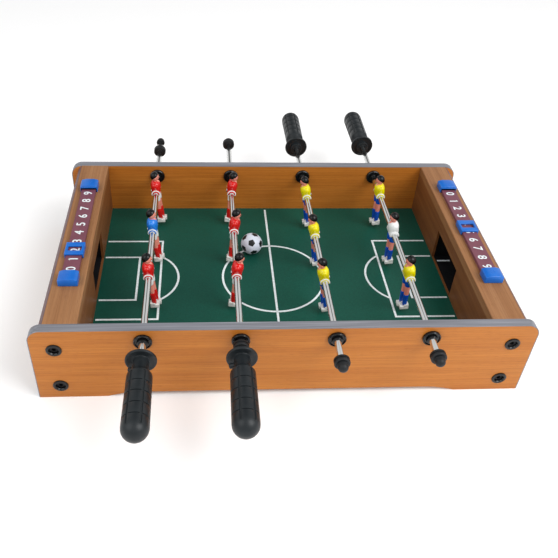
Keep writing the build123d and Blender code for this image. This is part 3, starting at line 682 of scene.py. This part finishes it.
plain_grip = grip()
plain_grip.rotation_euler = (pi / 2, 0, 0)
settle(plain_grip)
plain_grip = join("grip", [plain_grip, grub_lug()])
HANDLE_REACH = 90.9 * MM
for number in rod_place:
    low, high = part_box(f"handle_{number}")
    flange_y = low[1] + HANDLE_REACH if ROD_SIDE[number] < 0 else high[1] - HANDLE_REACH
    handle = on_rod(copy_of(plain_grip, f"grip_{number}"), number, flange_y)
    wear(handle, grip_black, f"rod_{number}", "handle_black", f"handle_{number}")
bpy.data.objects.remove(plain_grip)

# ---------------------------------------------------------------- bumpers and end caps
# Soft black rubber: rings that slip along the rod and soften the stop against the bush, and
# a round-ended cap over the rod's bare end. Dull, slightly dusty, with a moulding groove.
rubber = moulded("soft_black_rubber", "#121416", "#1B1D1F", 0.5, 1.5 * MM, 0.25, sheen=0.3)
finish_node(rubber, *[f"bumpers_{n}" for n in rod_place])
CAP_RADIUS = 5.2
CAP_LIP = 5.6
CAP_SHOULDER = 3.6
CAP_LONG = 8.0
cap_rings = [(0, CAP_LIP), (1.0, CAP_LIP), (1.3, CAP_RADIUS), (CAP_SHOULDER, CAP_RADIUS)]
for angle in (20, 40, 58, 74):
    cap_rings.append((CAP_SHOULDER + (CAP_LONG - CAP_SHOULDER) * sin(radians(angle)),
                      CAP_RADIUS * cos(radians(angle))))
cap_rings.append((CAP_LONG, 0.6))
plain_cap = ringed("cap", 40, [(z * MM, radius * MM) for z, radius in cap_rings])
plain_cap.rotation_euler = (-pi / 2, 0, 0)
settle(plain_cap)
bpy.ops.object.shade_smooth_by_angle(angle=radians(40))
for number in rod_place:
    low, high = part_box(f"end_cap_{number}")
    root = low[1] if ROD_SIDE[number] < 0 else high[1]
    cap = on_rod(copy_of(plain_cap, f"rubber_cap_{number}"), number, root)
    wear(cap, rubber, f"rod_{number}", "rubber_black", f"end_cap_{number}")
bpy.data.objects.remove(plain_cap)

# ---------------------------------------------------------------- screws
# Zinc-plated pan-head screws hold each figure to its rod from behind, and one grub screw
# holds each handle. Bright, with a slight brushed haze.
zinc = new_material("zinc_plated_steel", Metallic=1.0, Roughness=0.3, Base_Color=colour("#B9BCC0"))
zinc_place = add(zinc, "ShaderNodeTexCoord")
zinc_haze = add(zinc, "ShaderNodeTexNoise", None,
                {"Vector": (zinc_place, "Object"), "Scale": 1 / (0.9 * MM), "Detail": 2.0})
zinc_tone = add(zinc, "ShaderNodeValToRGB",
                {"stops": [(0.3, (0.22, 0.22, 0.22, 1)), (0.7, (0.4, 0.4, 0.4, 1))]},
                {"Fac": (zinc_haze, "Fac")})
feed(zinc, Roughness=(zinc_tone, "Color"))
finish_node(zinc, *[f"screws_{n}" for n in rod_place])

# ---------------------------------------------------------------- toy figures
# Twelve figures moulded in polystyrene and spray painted through masks, so their colours meet
# a little unevenly. The rod runs through the hips, inside a white waistband. Shirts are glossy.
HIP_RADIUS = 5.5 * MM
HIP_LINING = 4.5 * MM
HIP_HALF = 8.3 * MM
HIP_RING = 0.8 * MM
HIP_BASE = -1.6 * MM


def oval_stack(name, sides, rings):
    """A closed skin through ovals one above the other: (x, y, z, half depth, half width) in mm."""
    deselect()
    x, y, z, depth, width = rings[0]
    top_x, top_y, top_z, top_depth, top_width = rings[1]
    bpy.ops.mesh.primitive_cylinder_add(vertices=sides, radius=1, depth=abs(top_z - z) * MM,
                                        location=(0, 0, (z + top_z) / 2 * MM), end_fill_type="NGON")
    piece = settle(named(name))
    bpy.ops.object.mode_set(mode="EDIT")
    upwards = 1 if top_z > z else -1
    select_where(lambda face: face.normal.z * upwards < -0.9)
    bpy.ops.transform.resize(value=(depth * MM, width * MM, 1), center_override=(0, 0, z * MM))
    bpy.ops.transform.translate(value=(x * MM, y * MM, 0))
    select_where(lambda face: face.normal.z * upwards > 0.9)
    bpy.ops.transform.resize(value=(top_depth * MM, top_width * MM, 1), center_override=(0, 0, top_z * MM))
    bpy.ops.transform.translate(value=(top_x * MM, top_y * MM, 0))
    for here, there in zip(rings[1:], rings[2:]):
        bpy.ops.mesh.extrude_region_move(TRANSFORM_OT_translate={
            "value": [(b - a) * MM for a, b in zip(here[:3], there[:3])]})
        bpy.ops.transform.resize(value=(there[3] / here[3], there[4] / here[4], 1),
                                 center_override=[v * MM for v in there[:3]])
    bpy.ops.object.mode_set(mode="OBJECT")
    rounding = piece.modifiers.new("rounding", "SUBSURF")
    rounding.levels = rounding.render_levels = 1
    bpy.ops.object.modifier_apply(modifier=rounding.name)
    bpy.ops.object.shade_smooth()
    return piece


def ball_shape(name, x, y, z, half_x, half_y, half_z, segments=24, rings=16):
    """An ellipsoid, in mm."""
    deselect()
    bpy.ops.mesh.primitive_uv_sphere_add(segments=segments, ring_count=rings, radius=MM)
    piece = named(name)
    piece.scale = (half_x, half_y, half_z)
    piece.location = (x * MM, y * MM, z * MM)
    bpy.ops.object.shade_smooth()
    return settle(piece)


def hips(name, y0, y1, radius):
    """A round piece on the rod between two places, cut flat below it."""
    piece = ringed(name, 40, [(-y1, radius), (-y0, radius)])
    piece.rotation_euler = (pi / 2, 0, 0)
    settle(piece)
    bpy.ops.object.mode_set(mode="EDIT")
    bpy.ops.mesh.select_all(action="SELECT")
    bpy.ops.mesh.bisect(plane_co=(0, 0, HIP_BASE), plane_no=(0, 0, -1), use_fill=True, clear_outer=True)
    bpy.ops.object.mode_set(mode="OBJECT")
    return soften(piece, 0.25 * MM, segments=2)


def shirt():
    """Chest down to the rod, and both short arms held against it."""
    chest = oval_stack("chest", 24, [
        (0, 0, 0.2, 4.6, 7.2), (0, 0, 0.8, 5.7, 7.9), (0, 0, 3.6, 6.3, 8.2), (0.1, 0, 7.5, 6.7, 8.4),
        (0.2, 0, 11.0, 6.5, 8.1), (0, 0, 13.4, 5.2, 6.8), (0, 0, 15.0, 3.7, 4.6), (0, 0, 15.6, 2.8, 3.0)])
    hem_half = HIP_HALF + HIP_RING + 0.05 * MM
    pieces = [hips("hips", -HIP_HALF, HIP_HALF, HIP_RADIUS),
              hips("hem", -hem_half, hem_half, HIP_LINING), chest]
    for side in (-1, 1):
        pieces.append(oval_stack("arm", 14, [
            (-0.8, side * 6.0, 14.1, 1.7, 1.7), (-0.8, side * 6.8, 12.4, 3.2, 2.3),
            (-0.7, side * 7.0, 9.8, 4.0, 2.4), (-0.4, side * 6.6, 6.8, 4.9, 2.2),
            (-0.1, side * 6.2, 4.4, 5.1, 1.9), (0.0, side * 6.0, 1.0, 4.9, 1.8)][::-1]))
    return join("shirt", pieces)


def waistband():
    """The thin white rings at both ends of the hips."""
    rings = []
    for side in (-1, 1):
        near, far = sorted((side * HIP_HALF, side * (HIP_HALF + HIP_RING)))
        rings.append(hips("hip_ring", near, far, HIP_RADIUS + 0.1 * MM))
    return join("waistband", rings)


def leg_at(side, z):
    """Middle of a leg at a height: x, y. The +Y leg is a step ahead."""
    ahead = 2.0 if side > 0 else 0.0
    share = (-3.0 - z) / (-3.0 + 41.9)
    return 0.5 * ahead + share * (2.0 + 0.5 * ahead), side * 3.2


def legs(name, rings):
    """The same stretch of both legs: (z, radius) from the top down."""
    pieces = []
    for side in (-1, 1):
        stack = [(*leg_at(side, z), z, radius * 1.05, radius) for z, radius in rings]
        pieces.append(oval_stack(name, 16, stack[::-1]))
    return join(name, pieces)


def shoes():
    """A block for each foot with a higher heel half."""
    pieces = []
    for side, ahead in ((-1, 0.0), (1, 2.0)):
        toe = 7.3 + ahead
        near, far = sorted((side * -0.3, side * 6.0))
        sole = bar((toe - 10) * MM, toe * MM, near * MM, far * MM, -46.2 * MM, -41.4 * MM)
        heel = bar((toe - 10) * MM, (toe - 4.2) * MM, near * MM, far * MM, -43 * MM, -39.2 * MM)
        pieces += [soften(sole, 0.7 * MM), soften(heel, 0.6 * MM)]
    return join("shoes", pieces)


def hair():
    """A glossy moulded cap of hair, open over the face."""
    piece = ball_shape("hair", 0.0, 0, 21.4, 5.6, 5.4, 5.9, 32, 24)
    bpy.ops.object.mode_set(mode="EDIT")
    bpy.ops.mesh.select_all(action="SELECT")
    bpy.ops.mesh.bisect(plane_co=(0.9 * MM, 0, 21.9 * MM), plane_no=(0.55, 0, -0.835),
                        use_fill=True, clear_outer=True)
    bpy.ops.object.mode_set(mode="OBJECT")
    soften(piece, 0.35 * MM, segments=2, angle=50)
    eyes = [ball_shape("eye", 4.85, side * 1.8, 21.3, 0.5, 0.55, 0.7, 12, 8) for side in (-1, 1)]
    return join("hair", [piece, *eyes])


def face_and_neck():
    """Head, nose, ears, neck and the skin inside the V of the collar."""
    head = ball_shape("head", 0.3, 0, 20.7, 5.0, 4.7, 5.5)
    nose = oval_stack("nose", 10, [(5.0, 0, 19.0, 0.7, 0.8), (5.3, 0, 19.7, 0.75, 0.85),
                                   (4.9, 0, 21.6, 0.5, 0.5)])
    ears = [ball_shape("ear", 0.5, side * 4.6, 20.2, 1.1, 0.6, 1.4, 12, 8) for side in (-1, 1)]
    neck = oval_stack("neck", 16, [(0.6, 0, 13.5, 3.0, 3.0), (0.4, 0, 15.6, 2.9, 3.2),
                                   (0.2, 0, 16.6, 2.6, 2.7), (0.2, 0, 19.5, 2.6, 2.6)])
    collar = oval_stack("collar", 12, [(5.0, 0, 10.2, 0.7, 0.5), (4.3, 0, 12.4, 1.6, 1.6),
                                       (2.6, 0, 15.1, 2.2, 2.6), (1.2, 0, 16.4, 1.8, 2.2)])
    return join("skin", [head, nose, *ears, neck, collar])


def sprayed(name, shade, deeper):
    """Gloss paint sprayed on moulded polystyrene, a little thinner in places."""
    return moulded(name, deeper, shade, 0.24, 1.6 * MM, 0.1, sheen=0.5)


paint = {
    "red": sprayed("red_spray_gloss", "#D21612", "#BA100E"),
    "sky": sprayed("sky_blue_spray_gloss", "#1F7FDC", "#146AC8"),
    "yellow": sprayed("yellow_spray_gloss", "#E6DC00", "#D0C400"),
    "white": sprayed("white_spray_gloss", "#E9EBEA", "#DADDDC"),
    "deep_blue": sprayed("deep_blue_spray_gloss", "#0B4FC0", "#0A42A4"),
    "skin": sprayed("skin_tone_spray_gloss", "#E69482", "#D98270"),
    "black": moulded("black_spray_gloss", "#060708", "#0B0C0D", 0.16, 1.6 * MM, 0.05, sheen=0.25),
    "shoe": moulded("off_white_polystyrene", "#CFD0CC", "#DEDFDB", 0.4, 1.2 * MM, 0.1),
}
slot_for = {"red": "figure_red", "sky": "figure_blue", "yellow": "figure_yellow", "white": "figure_white",
            "deep_blue": "figure_blue", "skin": "figure_white", "black": "rubber_black",
            "shoe": "figure_white"}
figure_parts = {
    "shirt": shirt(),
    "waistband": waistband(),
    "shorts": legs("shorts", [(-3, 3.6), (-4, 3.95), (-8, 3.9), (-12.4, 3.75), (-12.8, 3.3)]),
    "knees": legs("knees", [(-11, 2.9), (-14, 3.05), (-19, 2.8), (-25.5, 2.7), (-26.5, 2.4)]),
    "socks": legs("socks", [(-24.5, 2.5), (-25.0, 2.95), (-28, 3.1), (-32, 2.9), (-38, 2.6), (-42.5, 2.6)]),
    "shoes": shoes(),
    "skin": face_and_neck(),
    "hair": hair(),
}


def stand(piece, number, y):
    """Puts a figure's piece on its rod. Figures face the far goal, each team its own way."""
    place = rod_place[number]
    turn = Matrix.Rotation(radians(ROD_TILT[number]), 4, "Y")
    if ROD_SIDE[number] > 0:
        turn = turn @ Matrix.Scale(-1, 4, (1, 0, 0))
        piece.data.flip_normals()
    piece.data.transform(Matrix.Translation((place.x, y, place.z)) @ turn)
    piece.data.update()
    return piece


for number in rod_place:
    red_team = ROD_SIDE[number] < 0
    for spot in (1, 2, 3):
        low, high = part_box(f"player_{number}_{spot}")
        y = (low[1] + high[1]) / 2
        shirt_paint = "red" if red_team else "yellow"
        if spot == 2 and number == 1:
            shirt_paint = "sky"
        if spot == 2 and number == 4:
            shirt_paint = "white"
        wardrobe = {"shirt": shirt_paint, "waistband": "white",
                    "shorts": "white" if red_team else "deep_blue", "knees": "skin",
                    "socks": "red" if red_team else "deep_blue", "shoes": "shoe",
                    "skin": "skin", "hair": "black"}
        for part_name, paint_name in wardrobe.items():
            piece = stand(copy_of(figure_parts[part_name], f"{part_name}_{number}_{spot}"), number, y)
            stands_for = [f"player_{number}_{spot}"] if part_name == "shirt" else []
            wear(piece, paint[paint_name], f"rod_{number}", slot_for[paint_name], *stands_for)
for piece in figure_parts.values():
    bpy.data.objects.remove(piece)

# ---------------------------------------------------------------- ball
# A hollow moulded ball with raised panels, twelve of them painted black, and sunk seams.
# Slightly glossy polystyrene.
ball_low, ball_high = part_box("ball")
BALL_RADIUS = (ball_high[2] - ball_low[2]) / 2
ball_middle = Vector([(a + b) / 2 for a, b in zip(ball_low, ball_high)])
CAMERA_PLACE = Vector((-0.0843, -0.6524, 0.5674))
SEAM = 0.3 * MM
SEAM_DEEP = 0.16 * MM
deselect()
bpy.ops.mesh.primitive_ico_sphere_add(subdivisions=1, radius=BALL_RADIUS)
ball = named("football")
bpy.ops.object.mode_set(mode="EDIT")
bpy.ops.mesh.select_all(action="SELECT")
bpy.ops.mesh.bevel(offset_type="PERCENT", offset_pct=100 / 3, affect="VERTICES")
mesh = bmesh.from_edit_mesh(ball.data)
five_sided = set()
for index, face in enumerate(mesh.faces):
    face.material_index = index
    if len(face.verts) == 5:
        five_sided.add(index)
bmesh.update_edit_mesh(ball.data)
bpy.ops.mesh.select_all(action="SELECT")
bpy.ops.mesh.poke()
bpy.ops.mesh.subdivide(number_cuts=4)
bpy.ops.transform.tosphere(value=1, center_override=(0, 0, 0))
SIX_SIDED = 20
for index in range(len(five_sided) + SIX_SIDED):
    select_where(lambda face: face.material_index == index)
    bpy.ops.mesh.inset(thickness=SEAM, depth=0, use_even_offset=True)
mesh = bmesh.from_edit_mesh(ball.data)
for vertex in mesh.verts:
    length = BALL_RADIUS
    if len({face.material_index for face in vertex.link_faces}) > 1:
        length = BALL_RADIUS - SEAM_DEEP
    vertex.co = vertex.co.normalized() * length
for face in mesh.faces:
    face.material_index = 1 if face.material_index in five_sided else 0
bmesh.update_edit_mesh(ball.data)
bpy.ops.object.mode_set(mode="OBJECT")
bpy.ops.object.shade_smooth()
ball.rotation_euler = (CAMERA_PLACE - ball_middle + Vector((0, 0, 0.06))).to_track_quat("Z", "Y").to_euler()
settle(ball)
ball.location = ball_middle
settle(ball)
ball_white = moulded("white_moulded_polystyrene", "#CCD1E0", "#D6DAE6", 0.3, 1.5 * MM, 0.05, sheen=0.4)
ball_black = moulded("black_painted_polystyrene", "#0D0E10", "#141517", 0.3, 1.5 * MM, 0.05, sheen=0.4)
black_panels = [face.material_index for face in ball.data.polygons]
wear(ball, ball_white, "ball", "ball_white", "ball")
ball.data.materials.append(ball_black)
ball.data.polygons.foreach_set("material_index", black_panels)

# ---------------------------------------------------------------- studio
# A pale seamless sweep in a white surround with one dark gap behind the table, which draws
# the line along the chrome. A large soft lamp stands to the right in front, a weaker one to the left.
deselect()
bpy.ops.mesh.primitive_plane_add(size=30, location=(0, 0, 0))
floor = named("studio_floor")
floor_white = new_material("white_paper_sweep", Base_Color=colour("#FCFCFC"), Roughness=0.9,
                           Specular_IOR_Level=0.2)
floor.data.materials.append(floor_white)

surround = bpy.data.worlds.new("white_surround")
surround.use_nodes = True
backdrop = surround.node_tree.nodes["Background"]
backdrop.inputs["Strength"].default_value = 0.8
around = add(surround, "ShaderNodeTexCoord")
ways = add(surround, "ShaderNodeSeparateXYZ", None, {"Vector": (around, "Generated")})
aside = add(surround, "ShaderNodeMath", {"operation": "ABSOLUTE"}, {0: (ways, "X")})
gap = add(surround, "ShaderNodeValToRGB",
          {"stops": [(0.10, (0.16, 0.16, 0.16, 1)), (0.24, (1, 1, 1, 1))]}, {"Fac": (aside, "Value")})
behind = add(surround, "ShaderNodeValToRGB",
             {"stops": [(0.35, (0, 0, 0, 1)), (0.5, (1, 1, 1, 1))]}, {"Fac": (ways, "Y")})
walls = add(surround, "ShaderNodeMix", {"data_type": "RGBA"},
            {0: (behind, "Color"), 6: (1, 1, 1, 1), 7: (gap, "Color")})
surround.node_tree.links.new(walls.outputs[2], backdrop.inputs["Color"])
bpy.context.scene.world = surround


def soft_lamp(name, place, aim, width, power):
    """A square soft lamp that faces a point."""
    deselect()
    bpy.ops.object.light_add(type="AREA", location=place)
    lamp = bpy.context.object
    lamp.name = name
    lamp.data.size = width
    lamp.data.energy = power
    lamp.rotation_euler = (Vector(aim) - Vector(place)).to_track_quat("-Z", "Y").to_euler()


soft_lamp("key_lamp", (1.1, -0.8, 1.4), (0, 0, 0.05), 1.2, 25)
soft_lamp("fill_lamp", (-1.2, -0.7, 1.3), (0, 0, 0), 1.3, 9)

# ---------------------------------------------------------------- camera
# Level with a standing child's eyes, in front of the table and a little to the left.
deselect()
bpy.ops.object.camera_add(location=CAMERA_PLACE)
camera = bpy.context.object
camera.name = "camera"
camera.rotation_euler = (Matrix.Rotation(-0.089, 3, "Z") @ Matrix.Rotation(0.889, 3, "X")
                         @ Matrix.Rotation(0.051, 3, "Z")).to_euler()
camera.data.lens = 44.12
camera.data.sensor_width = 36
camera.data.shift_x = 0.0505
camera.data.shift_y = -0.0331
camera.data.clip_start = 0.01
bpy.context.scene.camera = camera
bpy.context.scene.view_settings.view_transform = "Standard"
